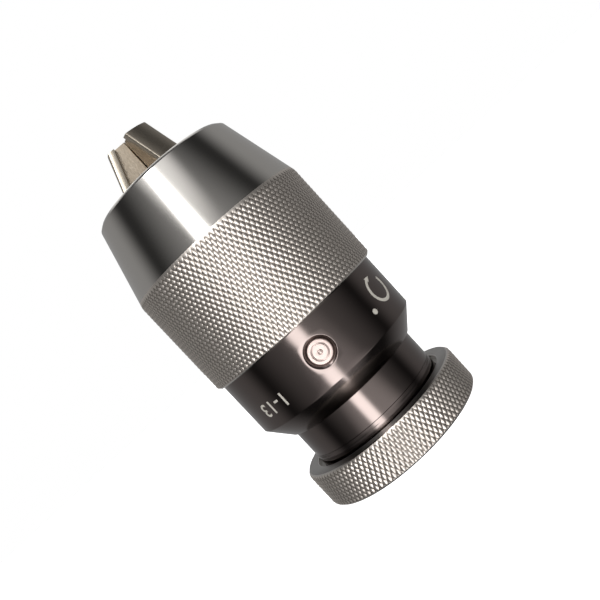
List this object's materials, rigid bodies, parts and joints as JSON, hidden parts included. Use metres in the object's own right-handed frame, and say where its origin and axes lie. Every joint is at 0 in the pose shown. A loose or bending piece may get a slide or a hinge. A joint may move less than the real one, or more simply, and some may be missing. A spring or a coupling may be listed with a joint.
{
  "type": "drill chuck",
  "caption": "Keyless drill chuck with a knurled hood, ball-bearing sleeve, hold ring, taper socket and jaws that slide out of a conical nose as the sleeve turns.",
  "frame": {"origin": "on the chuck's axis, in the plane of its rear face (the rear of the body and of the hold ring)", "axes": "+Z along the chuck's axis, from the machine end to the jaw tips; -Y faces the ball filler plug, 1.3 degrees off it"},
  "size_m": [0.05, 0.05, 0.099],
  "materials": {
    "polished_steel": "turned and polished steel, with a fine diamond knurl where it is gripped",
    "blackened_steel": "glossy blackened steel",
    "ground_steel": "hardened steel, ground",
    "hardened_steel": "hardened and oiled steel",
    "bearing_steel": "lapped bearing balls"
  },
  "bodies": {
    "body": {"chuck_body": "blackened_steel", "hold_ring": "polished_steel"},
    "sleeve": {"sleeve": "blackened_steel", "filler_plug": "ground_steel", "hood": "polished_steel", "jaw_guide": "hardened_steel"},
    "ball_ring": {"ball_01": "bearing_steel", "ball_02": "bearing_steel", "ball_03": "bearing_steel", "ball_04": "bearing_steel", "ball_05": "bearing_steel", "ball_06": "bearing_steel", "ball_07": "bearing_steel", "ball_08": "bearing_steel", "ball_09": "bearing_steel", "ball_10": "bearing_steel", "ball_11": "bearing_steel", "ball_12": "bearing_steel", "ball_13": "bearing_steel", "ball_14": "bearing_steel", "ball_15": "bearing_steel", "ball_16": "bearing_steel", "ball_17": "bearing_steel", "ball_18": "bearing_steel", "ball_19": "bearing_steel", "ball_20": "bearing_steel", "ball_21": "bearing_steel", "ball_22": "bearing_steel", "ball_23": "bearing_steel", "ball_24": "bearing_steel"},
    "screw": {"drive_screw": "hardened_steel"},
    "jaw_1": {"jaw_1": "ground_steel"},
    "jaw_2": {"jaw_2": "ground_steel"},
    "jaw_3": {"jaw_3": "ground_steel"}
  },
  "joints": [
    {"name": "sleeve_turn", "type": "hinge", "parent": "body", "child": "sleeve", "pos_m": [0, 0, 0.0325], "axis": [0, 0, 1], "range_deg": [0, 1470]},
    {"name": "ball_ring_turn", "type": "hinge", "parent": "body", "child": "ball_ring", "pos_m": [0, 0, 0.0325], "axis": [0, 0, 1], "range_deg": [0, 827.7]},
    {"name": "screw_slide", "type": "slide", "parent": "sleeve", "child": "screw", "axis": [0, 0, 1], "range_m": [-0.01633, 0]},
    {"name": "jaw_1_slide", "type": "slide", "parent": "sleeve", "child": "jaw_1", "axis": [0.1942, -0.2815, -0.9397], "range_m": [0, 0.01738]},
    {"name": "jaw_2_slide", "type": "slide", "parent": "sleeve", "child": "jaw_2", "axis": [0.1467, 0.309, -0.9397], "range_m": [0, 0.01738]},
    {"name": "jaw_3_slide", "type": "slide", "parent": "sleeve", "child": "jaw_3", "axis": [-0.3409, -0.0274, -0.9397], "range_m": [0, 0.01738]}
  ],
  "couplings": [
    {"joint": "ball_ring_turn", "follows": "sleeve_turn", "ratio": 0.563},
    {"joint": "screw_slide", "follows": "sleeve_turn", "m_per_rad": -0.00063662},
    {"joint": "jaw_1_slide", "follows": "sleeve_turn", "m_per_rad": 0.00067748},
    {"joint": "jaw_2_slide", "follows": "sleeve_turn", "m_per_rad": 0.00067748},
    {"joint": "jaw_3_slide", "follows": "sleeve_turn", "m_per_rad": 0.00067748}
  ]
}
